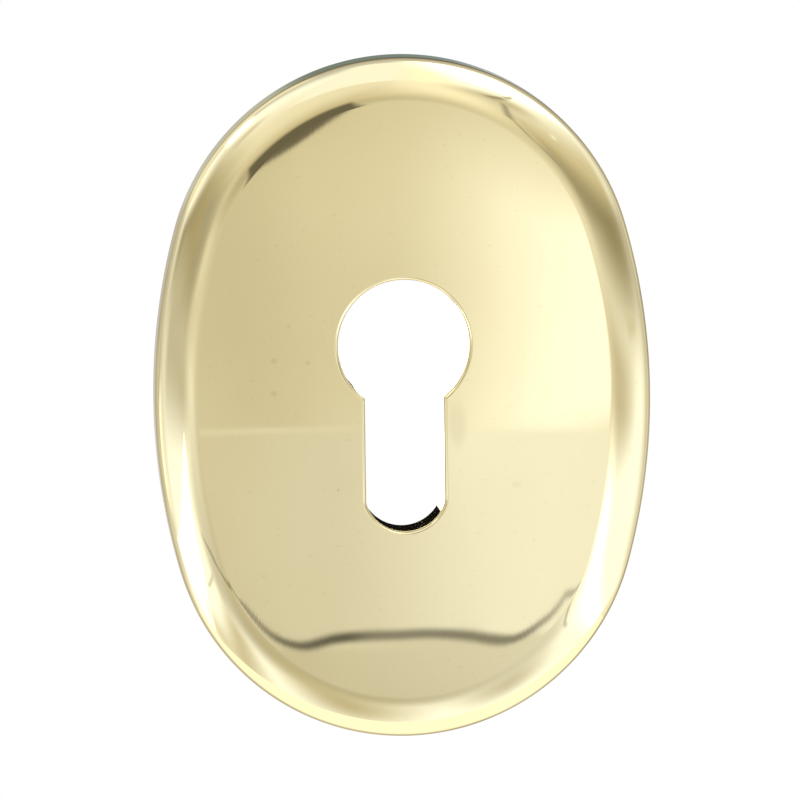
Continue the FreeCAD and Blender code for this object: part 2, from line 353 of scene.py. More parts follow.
def plate_tree():
    """The plate from its three outlines: swept rim, walls and hollow, and the flats between."""
    tree = bpy.data.node_groups.new("Escutcheon plate", "GeometryNodeTree")
    face = tree.interface
    face.new_socket("Outlines", in_out="INPUT", socket_type="NodeSocketGeometry")
    for label, _ in TREE_SIZES:
        face.new_socket(label, in_out="INPUT", socket_type="NodeSocketFloat").subtype = "DISTANCE"
    face.new_socket("Rim steps", in_out="INPUT", socket_type="NodeSocketInt")
    face.new_socket("Brass", in_out="INPUT", socket_type="NodeSocketMaterial")
    face.new_socket("Casting", in_out="INPUT", socket_type="NodeSocketMaterial")
    face.new_socket("Plate", in_out="OUTPUT", socket_type="NodeSocketGeometry")
    given = put(tree, "NodeGroupInput").outputs

    def less(first, second):
        return reckon(tree, "SUBTRACT", first, second)

    def more(first, second):
        return reckon(tree, "ADD", first, second)

    def minus(value):
        return less(0.0, value)

    rim, crown, edge = given["Rim width"], given["Crown radius"], given["Edge radius"]
    land, foot, margin = given["Land width"], given["Foot chamfer"], given["Flat margin"]
    easing, strip, front = given["Edge break"], given["Edge margin"], minus(given["Depth"])
    floor = minus(given["Relief depth"])
    wall_foot = more(floor, foot)

    tilt = reckon(tree, "ARCSINE", reckon(tree, "DIVIDE", less(rim, edge), less(crown, edge)))
    crown_level = more(front, crown)
    drop = reckon(tree, "MULTIPLY", less(crown, edge), reckon(tree, "COSINE", tilt))
    wall_level = less(crown_level, drop)
    down = -math.pi / 2

    oval, keyhole, collar = (pick_outline(tree, given["Outlines"], number) for number in range(3))
    rim_inside = minus(more(rim, margin))
    rim_section = [
        section_line(tree, (rim_inside, front), (minus(rim), front)),
        section_arc(tree, (minus(rim), crown_level), crown, down, tilt, given["Rim steps"]),
        section_arc(tree, (minus(edge), wall_level), edge, more(tilt, down), less(-down, tilt),
                    EDGE_STEPS),
        *section_path(tree, [(0.0, wall_level), (0.0, more(wall_level, strip)), (0.0, 0.0)]),
    ]
    land_inside = minus(more(land, foot))
    land_margin = less(land_inside, margin)
    land_section = section_path(tree, [
        (0.0, 0.0), (minus(land), 0.0), (minus(land), wall_foot), (land_inside, floor),
        (land_margin, floor),
    ])
    hole_margin = more(easing, strip)
    break_level = more(front, easing)
    hole_section = [
        section_line(tree, (hole_margin, front), (easing, front)),
        section_arc(tree, (easing, break_level), easing, down, down, BREAK_STEPS),
        *section_path(tree, [(0.0, break_level), (0.0, more(break_level, strip)), (0.0, 0.0)]),
    ]
    foot_margin = more(foot, margin)
    collar_section = section_path(tree, [
        (0.0, 0.0), (0.0, wall_foot), (foot, floor), (foot_margin, floor),
    ])

    front_face = fill_between(tree, grow(tree, oval, rim_inside), grow(tree, keyhole, hole_margin),
                              given["Depth"])
    hollow = fill_between(tree, grow(tree, oval, land_margin), grow(tree, collar, foot_margin),
                          given["Relief depth"])
    collar_seat = fill_between(tree, collar, keyhole, 0.0)
    back = join(tree, [sweep(tree, oval, land_section), sweep(tree, collar, collar_section),
                       hollow, collar_seat])
    whole = join(tree, [sweep(tree, oval, rim_section), sweep(tree, keyhole, hole_section),
                        front_face, mark_back(tree, back)])
    merged = put(tree, "GeometryNodeMergeByDistance", {"Geometry": whole, "Distance": WELD_REACH})
    stood = put(tree, "GeometryNodeTransform",
                {"Geometry": merged.outputs[0], "Rotation": (math.pi / 2, 0.0, 0.0)})
    smooth = put(tree, "GeometryNodeSetShadeSmooth", {"Geometry": stood.outputs[0]})
    real = put(tree, "GeometryNodeRealizeInstances", {"Geometry": smooth.outputs[0]})
    brass = put(tree, "GeometryNodeSetMaterial",
                {"Geometry": real.outputs[0], "Material": given["Brass"]})
    behind = put(tree, "GeometryNodeInputNamedAttribute", {"Name": "cast_back"},
                 data_type="BOOLEAN")
    casting = put(tree, "GeometryNodeSetMaterial",
                  {"Geometry": brass.outputs[0], "Selection": behind.outputs[0],
                   "Material": given["Casting"]})
    put(tree, "NodeGroupOutput", {"Plate": casting.outputs[0]})
    return tree


def set_inputs(modifier, values):
    """Set a modifier's inputs by their sockets' identifiers."""
    for item in modifier.node_group.interface.items_tree:
        if item.item_type == "SOCKET" and item.in_out == "INPUT" and item.name in values:
            modifier[item.identifier] = values[item.name]


def finished_mesh(holder, name):
    """The evaluated result as a plain mesh with its faces outwards and its corners sharp."""
    depsgraph = bpy.context.evaluated_depsgraph_get()
    mesh = bpy.data.meshes.new_from_object(holder.evaluated_get(depsgraph), depsgraph=depsgraph)
    mesh.name = name
    work = bmesh.new()
    work.from_mesh(mesh)
    bmesh.ops.recalc_face_normals(work, faces=work.faces)
    open_edges = sum(1 for edge in work.edges if len(edge.link_faces) != 2)
    work.to_mesh(mesh)
    work.free()
    if open_edges:
        raise RuntimeError("%s has %d open edges" % (name, open_edges))
    mesh.set_sharp_from_angle(angle=ROUND_BELOW)
    return mesh


# Marks that the face has picked up: where (x, z), across, up, and how strong.
STAINS = (
    (-0.01731, -0.00163, 0.00060, 0.00050, 0.50),
    (-0.01284, -0.00198, 0.00055, 0.00050, 0.40),
    (-0.01738, -0.00601, 0.00060, 0.00050, 0.50),
    (-0.01527, 0.00297, 0.00034, 0.00034, 0.40),
    (-0.00898, -0.01914, 0.00022, 0.00030, 0.80),
    (0.00700, -0.01080, 0.00170, 0.00420, 0.35),
    (0.01480, -0.01900, 0.00090, 0.00060, 0.25),
)


def new_material(name):
    material = bpy.data.materials.new(name)
    material.use_nodes = True
    material.node_tree.nodes.clear()
    return material


def shader_group(name, inputs, outputs):
    """A shader node group with its sockets, and its input node's outputs."""
    tree = bpy.data.node_groups.new(name, "ShaderNodeTree")
    for direction, sockets in (("INPUT", inputs), ("OUTPUT", outputs)):
        for label, kind in sockets:
            tree.interface.new_socket(label, in_out=direction, socket_type="NodeSocket" + kind)
    return tree, put(tree, "NodeGroupInput").outputs


def use_group(tree, group, sockets):
    return put(tree, "ShaderNodeGroup", sockets, node_tree=group).outputs


def ramp(tree, value, low, high, first=0.0, last=1.0):
    """A smooth step from first to last while value goes from low to high."""
    sockets = {"Value": value, "From Min": low, "From Max": high, "To Min": first, "To Max": last}
    return put(tree, "ShaderNodeMapRange", sockets, interpolation_type="SMOOTHSTEP").outputs[0]


def blend(tree, amount, first, second):
    """A colour between first and second."""
    sockets = {0: amount, 6: first, 7: second}
    return put(tree, "ShaderNodeMix", sockets, data_type="RGBA").outputs[2]


def object_position(tree):
    return put(tree, "ShaderNodeTexCoord").outputs["Object"]


def split(tree, vector):
    return put(tree, "ShaderNodeSeparateXYZ", {"Vector": vector}).outputs


def vector_step(tree, operation, first, second=(0.0, 0.0, 0.0)):
    """One step of arithmetic with vectors; gives the sockets of its results."""
    return put(tree, "ShaderNodeVectorMath", {0: first, 1: second}, operation=operation).outputs


def noise(tree, position, scale, detail=2.0, roughness=0.5):
    sockets = {"Vector": position, "Scale": scale, "Detail": detail, "Roughness": roughness}
    return put(tree, "ShaderNodeTexNoise", sockets).outputs[0]


def stretched(tree, position, scale):
    """The position with its axes scaled one by one."""
    return vector_step(tree, "MULTIPLY", position, scale)[0]


def bump(tree, height, distance, before=None):
    sockets = {"Strength": 1.0, "Distance": distance, "Height": height}
    if before is not None:
        sockets["Normal"] = before
    return put(tree, "ShaderNodeBump", sockets).outputs[0]


def surface_group():
    """Clouds, specks and grain that every brass surface of the plate shares."""
    tree, given = shader_group(
        "Brass surface",
        (("Position", "Vector"), ("Cloud scale", "Float"), ("Grain scale", "Float")),
        (("Clouds", "Float"), ("Grain", "Float"), ("Specks", "Float")))
    clouds = noise(tree, given["Position"], given["Cloud scale"], 3.0, 0.55)
    grain = noise(tree, given["Position"], given["Grain scale"], 4.0, 0.65)
    pits = noise(tree, given["Position"], reckon(tree, "MULTIPLY", given["Grain scale"], 0.6), 0.0)
    put(tree, "NodeGroupOutput", {
        "Clouds": ramp(tree, clouds, 0.35, 0.68), "Grain": grain,
        "Specks": ramp(tree, pits, 0.76, 0.84)})
    return tree


def stain_group():
    """The mask of one soft round mark on the face."""
    tree, given = shader_group(
        "Stain", (("Position", "Vector"), ("Centre", "Vector"), ("Size", "Vector"),
                  ("Strength", "Float")), (("Mask", "Float"),))
    offset = vector_step(tree, "SUBTRACT", given["Position"], given["Centre"])[0]
    scaled = vector_step(tree, "DIVIDE", offset, given["Size"])[0]
    reach = vector_step(tree, "LENGTH", scaled)["Value"]
    mask = reckon(tree, "MULTIPLY", ramp(tree, reach, 0.35, 1.0, 1.0, 0.0), given["Strength"])
    put(tree, "NodeGroupOutput", {"Mask": mask})
    return tree


def metal(tree, base, roughness, normal, edge_tint=(1.0, 1.0, 1.0)):
    """Finish a material as bare metal."""
    shader = put(tree, "ShaderNodeBsdfPrincipled",
                 {"Base Color": base, "Metallic": 1.0, "Roughness": roughness,
                  "Specular Tint": edge_tint, "Normal": normal})
    put(tree, "ShaderNodeOutputMaterial", {"Surface": shader.outputs[0]})


# Where a change of the finish starts and is full: behind the front face for the first three (the
# browned rim edge, partly tarnish and partly painted shade; the cut-out's walls;
# the painted shade on the cut-out's rounded edge), then away from the axis of the round, and up
# towards the lit upper left corner, where the painted shade keeps back.
TARNISH_AND_SHADE_REACH = (0.00136, 0.00166)
CUT_WALL_REACH = (0.0003, 0.0005)
BREAK_REACH = (0.00004, 0.00016)
RIM_REACH = (0.017, 0.019)
LIT_CORNER_REACH = (0.046, 0.050)
# How much farther back the browning and painted shade start at the lit upper left corner, how deep
# stains and file marks go, and what the brass is tinted by where it is seen edge-on.
LIT_CORNER_DEPTH = 0.0004
STAIN_DEPTH = 0.0004
FILING_DEPTH = 0.000004
GRAZING_TINT = (0.60, 0.54, 0.40)


def brass_material(finish, depth, surface):
    """Polished brass: brushing, buffing waves, stains, a browned rim edge that is partly tarnish
    and partly painted shade, painted shade on the cut-out's rounded edge, and the cut-out's walls.
    """
    material = new_material("polished_brass")
    tree = material.node_tree
    position = object_position(tree)
    spot = split(tree, position)
    shared = use_group(tree, surface,
                       {"Position": position, "Cloud scale": 90.0, "Grain scale": 2600.0})

    def plus(first, second):
        return reckon(tree, "ADD", first, second)

    def less(first, second):
        return reckon(tree, "SUBTRACT", first, second)

    def times(first, second):
        return reckon(tree, "MULTIPLY", first, second)

    def behind_face(reach, level=spot["Y"]):
        """0 near the front face and 1 behind it."""
        return ramp(tree, level, reach[0] - depth, reach[1] - depth)

    stain = stain_group()
    marks = 0.0
    for x, z, across, up, strength in STAINS:
        sockets = {"Position": position, "Centre": (x, -depth, z),
                   "Size": (across, STAIN_DEPTH, up), "Strength": strength}
        marks = reckon(tree, "MAXIMUM", marks, use_group(tree, stain, sockets)["Mask"])

    # The browned band round the rim behind the face: partly tarnish, partly painted shade of the
    # edge seen edge-on, kept farther back at the lit upper left corner.
    from_middle = vector_step(tree, "LENGTH", stretched(tree, position, (1.0, 0.0, 0.6)))["Value"]
    outside = ramp(tree, from_middle, *RIM_REACH)
    lit_corner = ramp(tree, less(spot["Z"], spot["X"]), *LIT_CORNER_REACH, 0.0, LIT_CORNER_DEPTH)
    edge = times(outside, behind_face(TARNISH_AND_SHADE_REACH, less(spot["Y"], lit_corner)))
    inner = times(behind_face(CUT_WALL_REACH), less(1.0, outside))

    brushing = noise(tree, stretched(tree, position, (2600.0, 40.0, 55.0)), 1.0, 3.0, 0.6)
    waves = noise(tree, stretched(tree, position, (1.0, 1.0, 0.45)), 75.0, 1.0, 0.4)
    polish = blend(tree, times(shared["Clouds"], 0.22), finish.brass, finish.warm_brass)
    lined = blend(tree, ramp(tree, brushing, 0.25, 0.75, 0.10, 0.0), polish, finish.warm_brass)
    speckled = blend(tree, times(shared["Specks"], 0.08), lined, finish.tarnish_and_shade)
    stained = blend(tree, times(marks, 0.45), speckled, finish.tarnish_and_shade)
    # The browning and painted shade are patchy with the clouds and weaker towards the left.
    shade_spread = times(ramp(tree, shared["Clouds"], 0.0, 1.0, 0.85, 1.0),
                 ramp(tree, spot["X"], -0.02, 0.01, 0.82, 1.0))
    browned_and_shaded = blend(tree, times(edge, shade_spread), stained, finish.tarnish_and_shade)
    # Painted shade: the cut-out's rounded front edge is darkened towards the tarnish colour, for
    # the dark line that edge reflects.
    break_shade = times(behind_face(BREAK_REACH), less(0.45, times(outside, 0.45)))
    break_shaded = blend(tree, break_shade, browned_and_shaded, finish.tarnish_and_shade)

    cloudy = ramp(tree, shared["Clouds"], 0.0, 1.0, finish.polish, finish.polish + 0.006)
    dulled = plus(cloudy, times(marks, 0.12))
    roughness = plus(plus(dulled, times(edge, 0.10)), times(inner, 0.02))
    normal = bump(tree, brushing, finish.brushing, bump(tree, waves, finish.waviness))
    metal(tree, blend(tree, inner, break_shaded, finish.cut_wall), roughness, normal, GRAZING_TINT)
    return material


def casting_material(finish, surface):
    """The back as it leaves the mould: sandy hollow with dark scale, and filed seats."""
    material = new_material("cast_brass_back")
    tree = material.node_tree
    position = object_position(tree)
    shared = use_group(tree, surface,
                       {"Position": position, "Cloud scale": 110.0, "Grain scale": 900.0})
    seat = ramp(tree, split(tree, position)["Y"], -0.00015, -0.00005)
    filing = noise(tree, stretched(tree, position, (150.0, 150.0, 3200.0)), 1.0, 2.0)
    scaly = blend(tree, shared["Clouds"], finish.casting, finish.scale)
    pitted = blend(tree, reckon(tree, "MULTIPLY", shared["Specks"], 0.7), scaly, finish.scale)
    filed = blend(tree, ramp(tree, filing, 0.3, 0.7, 0.0, 0.5), finish.warm_brass, finish.casting)
    roughness = blend(tree, seat, (0.58, 0.58, 0.58), (0.34, 0.34, 0.34))
    uneven = reckon(tree, "ADD", roughness, ramp(tree, shared["Grain"], 0.3, 0.7, -0.07, 0.07))
    sandy = bump(tree, shared["Grain"], finish.casting_grain)
    sockets = {0: seat, 4: sandy, 5: bump(tree, filing, FILING_DEPTH)}
    normal = put(tree, "ShaderNodeMix", sockets, data_type="VECTOR").outputs[1]
    metal(tree, blend(tree, seat, pitted, filed), uneven, normal)
    return material


class ESCUTCHEON_OT_plate(bpy.types.Operator):
    """Build the brass plate"""

    bl_idname = "escutcheon.plate"
    bl_label = "Brass plate"

    def execute(self, context):
        sizes = context.scene.escutcheon_sizes
        finish = context.scene.escutcheon_finish
        holder = outlines_object(sizes)
        modifier = holder.modifiers.new("Plate", "NODES")
        modifier.node_group = plate_tree()
        values = {label: getattr(sizes, name) for label, name in TREE_SIZES}
        surface = surface_group()
        values.update({"Rim steps": sizes.rim_steps,
                       "Brass": brass_material(finish, sizes.depth, surface),
                       "Casting": casting_material(finish, surface)})
        set_inputs(modifier, values)
        mesh = finished_mesh(holder, PIECE)
        bpy.data.objects.remove(holder)
        plate = bpy.data.objects.new(PIECE, mesh)
        context.scene.collection.objects.link(plate)
        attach(plate, "root")
        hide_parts(NODE)
        return {"FINISHED"}


class ESCUTCHEON_OT_stage(bpy.types.Operator):
    """Set up the floor, the light and the camera"""

    bl_idname = "escutcheon.stage"
    bl_label = "Stage"

    def execute(self, context):
        look = context.scene.escutcheon_look
        add_floor(context, look)
        add_light(context, look)
        add_upright_card(context, "studio_wall", (0.0, -look.wall_distance, 0.2), (1.8, 1.4),
                         wall_material())
        add_upright_card(context, "dark_card", (0.0, 0.35, 0.404), (0.25, 0.40),
                         dark_card_material())
        add_slot_cards(context)
        add_low_reflector(context, look)
        add_camera(context, look)
        context.scene.view_settings.view_transform = "Standard"
        return {"FINISHED"}


# The studio wall's own level and warmth.
WALL_LIGHT = (1.364, -1.51)

# The cards on the wall, each laid over those before it: name, centre X and Z, half length and
# half width, turn in degrees, taper, how far the ends and the sides fade, level and warmth.
STUDIO_CARDS = (
    ("room at the far left", -1.4069, -0.0968, 0.9365, 1.6693, -3.1, -0.95, 0.27, 1, 0.67, 0.1),
    ("room at the far right", 1.3271, -0.0239, 0.6983, 2.1311, 22.2, 0.95, 0.71, 1, 0.69, -0.2),
    ("ceiling", 0.2901, 1.0933, 1.6604, 0.5579, -1.7, -0.57, 0.1, 0.26, 0.79, -1.2),
    ("reflector over the camera", -0.129, 0.1634, 0.3882, 0.3419, 112.6, 0.95, 1, 0.6, 0.98, 0),
    ("ceiling over the camera", -0.02, 0.45, 0.15, 0.2, -10, 0, 0.6, 0.06, 1.22, -1.1),
    ("left flag", -0.323, 0.0692, 0.3116, 0.2368, 159.1, 0.82, 0.74, 0.9, 0.44, 1.6),
    ("left flag, its core", -0.5039, 0.0987, 0.2194, 0.1304, 188.7, 0.27, 0.78, 1, 0.4, 1.4),
    ("left stand", -0.1952, 0.0335, 0.0892, 0.0887, 138.9, -0.9, 1, 1, 0.4, -0.3),
    ("wall under the left flag", -0.3269, -0.0452, 0.2694, 0.0898, 172.8, 0.95, 0.55, 1, 0.63, 0),
    ("gap beside the left flag", -0.0872, 0.0036, 0.0628, 0.0444, -18, -0.59, 1, 0.81, 1.72, -1.2),
    ("paper on the left", -0.1139, -0.1252, 0.0834, 0.0632, 34.6, -0.46, 0.85, 0.8, 0.9, -0.4),
    ("low lamp on the left", -0.3953, -0.2537, 0.2693, 0.0728, 217.5, 0.91, 0.04, 0.09, 2.2, -0.7),
    ("table edge", -0.0102, -0.1601, 0.1341, 0.2005, -77.4, 0.57, 1, 1, 0.42, 0.1),
    ("shade left of the table", -0.2853, -0.4105, 0.3618, 0.1125, 235.8, 0.95, 0.59, 1, 0.73, 0.4),
    ("shade under the camera", -0.0289, -0.3223, 0.5754, 0.1441, -95.4, 0.95, 1, 1, 0.61, 1),
    ("foot of the left stand", -0.4598, -0.5249, 0.3658, 0.1028, 245.6, 0.13, 1, 1, 0.88, 0.1),
    ("shade right of the table", 0.1583, -0.3025, 0.3836, 0.1001, -60.4, 0.73, 1, 1, 0.72, -0.2),
    ("low lamp on the right", 0.7237, -0.5664, 0.813, 0.075, -38.1, 0.29, 0.04, 1, 2.2, -1.2),
    ("right flag", 0.2975, 0.1005, 0.6153, 0.2596, 10.9, 0.65, 0.52, 1, 0.66, 1.3),
    ("right flag, its core", 0.4465, 0.0437, 0.9459, 0.1282, 3.5, 0.95, 1, 1, 0.32, 1.6),
    ("wall under the right flag", 0.1856, -0.0699, 0.4333, 0.0434, -5.5, 0.73, 1, 0.89, 0.65, 0.5),
    ("gap under the right flag", 0.5202, -0.0381, 0.1587, 0.0181, 0.6, -0.03, 0.61, 0.94, 0.77, 0),
    ("gap in the ceiling", 0.092, 0.3225, 0.5328, 0.0657, 88.5, -0.95, 1, 1, 1.29, 0.1),
    ("shade beside the gap", 0.2033, 0.2326, 0.1831, 0.0694, 23.9, -0.15, 0.98, 1, 0.66, 0.9),
    ("camera side, left", 0.0088, -0.0481, 0.017, 0.0656, 9.3, 0.43, 1, 1, 0.68, 0.5),
    ("softbox", 0.074, -0.0578, 0.0405, 0.0249, -6.9, -0.95, 1, 0.52, 1.38, -1.1),
    ("low paper, left", 0.0262, -0.0942, 0.0262, 0.0198, 0, 0.02, 0.91, 0.07, 0.79, -0.3),
    ("low paper, right", 0.0649, -0.0936, 0.0422, 0.0186, -0.3, -0.06, 0.99, 0.1, 1.1, -1),
    ("top edge of the paper", 0.0185, -0.0747, 0.0205, 0.0009, 0, 0.01, 0.3, 0.84, 0.84, -0.2),
    ("fold of the paper", -0.0058, -0.128, 0.0238, 0.0089, -1.9, 0, 1, 0.16, 0.59, 0.4),
    ("high window", 0.38, 0.598, 0.34, 0.25, 14, 0, 0.5, 0.25, 2.2, -0.6),
    ("left window", -0.719, 0.695, 0.5, 0.123, 136, 0.5, 0.12, 0.5, 2.2, -0.6),
    ("sill of the left window", -0.302, 0.292, 0.055, 0.09, 136, 0, 0.8, 0.8, 0.8, 0),
    ("paper at the far left", -0.78, -0.2, 0.2, 0.12, 14, 0, 0.5, 0.6, 1.3, -0.6),
    ("wall beyond the left window", -1.19, 0.53, 0.7, 0.2, 156, 0.5, 0.3, 0.8, 1.02, 0.2),
    ("ceiling rail, foot", 0.145, 0.038, 0.034, 0.016, 2, 0, 1, 1, 0.42, 0.5),
    ("ceiling rail, low", 0.131, 0.066, 0.034, 0.008, 72, 0, 0.5, 1, 0.5, 0.4),
    ("ceiling rail, near", 0.167, 0.155, 0.082, 0.011, 62.8, 0, 0.35, 1, 0.45, 0.3),
    ("ceiling rail, middle", 0.205, 0.255, 0.075, 0.013, 42, 0, 0.7, 1, 0.38, 0.3),
    ("ceiling rail, far", 0.2825, 0.3355, 0.0686, 0.011, 46.2, -0.4, 0.6, 1, 0.6, 0),
    ("small window", 0.305, 0.19, 0.045, 0.012, 36, 0, 1, 1, 1.1, -0.4),
    ("mirrored rail", -0.1963, -0.1802, 0.0716, 0.0058, 29.1, 0, 0.25, 0.91, 0.86, -0.3),
)

# The crease in the paper: X, Z, half width and darkness.
CREASE = (
    (-0.155, -0.131, 0.0036, 0.00), (-0.12, -0.1267, 0.0034, 0.35),
    (-0.076, -0.1206, 0.0034, 0.42), (-0.035, -0.1155, 0.003, 0.48),
    (-0.011, -0.11, 0.0024, 0.54), (0.0065, -0.1035, 0.0014, 0.56),
    (0.0102, -0.1048, 0.0011, 0.60), (0.0127, -0.1078, 0.0011, 0.64),
    (0.0153, -0.1104, 0.0011, 0.78), (0.0179, -0.112, 0.0012, 0.88),
    (0.0205, -0.1126, 0.0013, 0.90), (0.0231, -0.1122, 0.0016, 0.93),
    (0.0257, -0.1115, 0.0016, 0.94), (0.0309, -0.1111, 0.0016, 0.82),
    (0.0379, -0.111, 0.0016, 0.73), (0.0449, -0.111, 0.0016, 0.75),
    (0.0501, -0.1116, 0.0017, 0.78), (0.0536, -0.1123, 0.0018, 0.73),
    (0.0571, -0.1124, 0.0013, 0.72), (0.0597, -0.1114, 0.0012, 0.74),
    (0.0624, -0.1097, 0.0012, 0.68), (0.065, -0.1077, 0.0012, 0.60),
    (0.068, -0.1045, 0.0013, 0.52), (0.084, -0.1172, 0.0026, 0.45),
    (0.1044, -0.1342, 0.003, 0.45), (0.1248, -0.1529, 0.0036, 0.44),
    (0.145, -0.1716, 0.004, 0.42), (0.169, -0.192, 0.0045, 0.33),
    (0.198, -0.217, 0.0045, 0.00),
)

# The lens hood's edges: direction X and Z, and where along it the dark starts and is full.
LENS_HOOD = (
    (-0.536, 0.843, -0.0327, -0.0319),
    (0.659, 0.753, -0.0185, -0.0142),
    (-0.963, -0.272, -0.0285, -0.0245),
    (0.350, -0.937, -0.0640, -0.0240),
)

CARD_SOCKETS = (
    ("Below", "Color"), ("Position", "Vector"), ("Centre", "Vector"), ("Turn", "Vector"),
    ("Half sizes", "Vector"), ("Taper", "Float"), ("Full ends", "Float"), ("Full sides", "Float"),
    ("Light", "Color"),
)


def card_group():
    """One soft-edged card laid over what is already on the wall."""
    tree, given = shader_group("Studio card", CARD_SOCKETS, (("Light", "Color"),))
    laid = put(tree, "ShaderNodeMapping",
               {"Vector": given["Position"], "Location": given["Centre"],
                "Rotation": given["Turn"], "Scale": given["Half sizes"]}, vector_type="TEXTURE")
    spot = split(tree, laid.outputs[0])
    along = put(tree, "ShaderNodeClamp", {"Value": spot["X"], "Min": -1.0, "Max": 1.0}).outputs[0]
    width = reckon(tree, "MULTIPLY_ADD", along, given["Taper"], 1.0)
    across = reckon(tree, "DIVIDE", spot["Z"], width)
    ends = ramp(tree, reckon(tree, "ABSOLUTE", along), 1.0, given["Full ends"])
    sides = ramp(tree, reckon(tree, "ABSOLUTE", across), 1.0, given["Full sides"])
    mask = reckon(tree, "MULTIPLY", ends, sides)
    put(tree, "NodeGroupOutput", {"Light": blend(tree, mask, given["Below"], given["Light"])})
    return tree


def lamp_colour(level, warmth):
    return (level * (1 + 0.05 * warmth), level, level * (1 - 0.14 * warmth))


def curve_over(tree, value, span, points, low, high):
    """A curve through listed points: its height between low and high over the wall's X within span.
    """
    sockets = {"Value": value, "From Min": span[0], "From Max": span[1]}
    placed = put(tree, "ShaderNodeMapRange", sockets)
    node = put(tree, "ShaderNodeFloatCurve", {"Value": placed.outputs[0]})
    curve = node.mapping.curves[0]
    spots = [((x - span[0]) / (span[1] - span[0]), (y - low) / (high - low)) for x, y in points]
    for point, spot in zip(curve.points, (spots[0], spots[-1])):
        point.location = spot
    for spot in spots[1:-1]:
        curve.points.new(*spot)
    node.mapping.update()
    sockets = {"Value": node.outputs[0], "To Min": low, "To Max": high}
    return put(tree, "ShaderNodeMapRange", sockets).outputs[0]


def wall_crease(tree, position, light):
    """The dark crease in the studio paper below the camera."""
    spot = split(tree, position)
    span = (CREASE[0][0], CREASE[-1][0])
    level = curve_over(tree, spot["X"], span, [(x, z) for x, z, _, _ in CREASE], -0.25, -0.10)
    width = curve_over(tree, spot["X"], span, [(x, half) for x, _, half, _ in CREASE], 0.0, 0.008)
    depth = curve_over(tree, spot["X"], span, [(x, dark) for x, _, _, dark in CREASE], 0.0, 1.0)
    off = reckon(tree, "ABSOLUTE", reckon(tree, "SUBTRACT", spot["Z"], level))
    inside = reckon(tree, "MULTIPLY", reckon(tree, "GREATER_THAN", spot["X"], span[0]),
                    reckon(tree, "LESS_THAN", spot["X"], span[1]))
    across = reckon(tree, "DIVIDE", off, width)
    mask = reckon(tree, "MULTIPLY", ramp(tree, across, 1.0, 0.1), depth)
    return blend(tree, reckon(tree, "MULTIPLY", mask, inside), light, lamp_colour(0.07, 0.0))


def lens_hood(tree, position, light):
    """The dark lens hood up and to the left: a leaf between straight edges that fades upwards."""
    mask = 1.0
    for x, z, start, full in LENS_HOOD:
        reach = vector_step(tree, "DOT_PRODUCT", position, (x, 0.0, z))["Value"]
        mask = reckon(tree, "MULTIPLY", mask, ramp(tree, reach, start, full))
    return blend(tree, mask, light, lamp_colour(0.155, 0.9))


def glow(tree, light):
    """Finish a material as an even light of its own."""
    shader = put(tree, "ShaderNodeEmission", {"Color": light, "Strength": 1.0})
    put(tree, "ShaderNodeOutputMaterial", {"Surface": shader.outputs[0]})


def wall_material():
    """The studio in front of the plate, as the polished metal sees it."""
    material = new_material("studio_wall")
    tree = material.node_tree
    position = object_position(tree)
    card = card_group()
    light = lamp_colour(*WALL_LIGHT)
    for _, x, z, half_length, half_width, turn, taper, ends, sides, level, warmth in STUDIO_CARDS:
        light = use_group(tree, card, {
            "Below": light, "Position": position, "Centre": (x, 0.0, z),
            "Turn": (0.0, -math.radians(turn), 0.0), "Half sizes": (half_length, 1.0, half_width),
            "Taper": taper, "Full ends": 1 - ends, "Full sides": 1 - sides,
            "Light": lamp_colour(level, warmth)})["Light"]
    glow(tree, wall_crease(tree, position, lens_hood(tree, position, light)))
    material.cycles.emission_sampling = "NONE"
    return material


def dark_card_material():
    """A cloth above and behind the plate: dark green in its middle, paler towards its edges."""
    material = new_material("dark_card")
    tree = material.node_tree
    spot = split(tree, object_position(tree))
    middle = reckon(tree, "MULTIPLY", ramp(tree, spot["X"], -0.050, -0.018),
                    ramp(tree, spot["Z"], 0.020, 0.062))
    green = blend(tree, middle, (1.15, 1.27, 1.40), (0.40, 0.56, 0.62))
    hemmed = blend(tree, ramp(tree, spot["X"], 0.058, 0.073), green, (0.45, 0.47, 0.44))
    glow(tree, blend(tree, ramp(tree, spot["Z"], 0.12, 0.25), hemmed, (0.42, 0.40, 0.40)))
    return material


def plain_light(name, level):
    """A card of one even level."""
    material = new_material(name)
    glow(material.node_tree, (level, level, level))
    return material


def seen_directly(tree):
    """1 for rays from the camera, a reflection or a clear material, and 0 for the rest."""
    path = put(tree, "ShaderNodeLightPath").outputs
    mirrored = reckon(tree, "MAXIMUM", path["Is Camera Ray"], path["Is Glossy Ray"])
    return reckon(tree, "MAXIMUM", mirrored, path["Is Transmission Ray"])


def floor_material():
    """A pale floor: white where nothing shades it, with the shadow of what stands over it."""
    material = new_material("pale_floor")
    tree = material.node_tree
    paper = noise(tree, object_position(tree), 14.0, 2.0)
    shade = blend(tree, paper, (0.91, 0.91, 0.91), (0.93, 0.93, 0.93))
    matt = put(tree, "ShaderNodeBsdfDiffuse", {"Color": shade})
    level = reckon(tree, "MULTIPLY", seen_directly(tree), 0.25)
    lift = put(tree, "ShaderNodeEmission", {"Strength": level})
    both = put(tree, "ShaderNodeAddShader", {0: matt.outputs[0], 1: lift.outputs[0]})
    put(tree, "ShaderNodeOutputMaterial", {"Surface": both.outputs[0]})
    return material


def add_sheet(context, name, corners, material, faces=((0, 1, 2, 3),)):
    """A flat sheet of the stage."""
    mesh = bpy.data.meshes.new(name)
    mesh.from_pydata(corners, [], faces)
    mesh.materials.append(material)
    sheet = bpy.data.objects.new(name, mesh)
    context.scene.collection.objects.link(sheet)
    return sheet


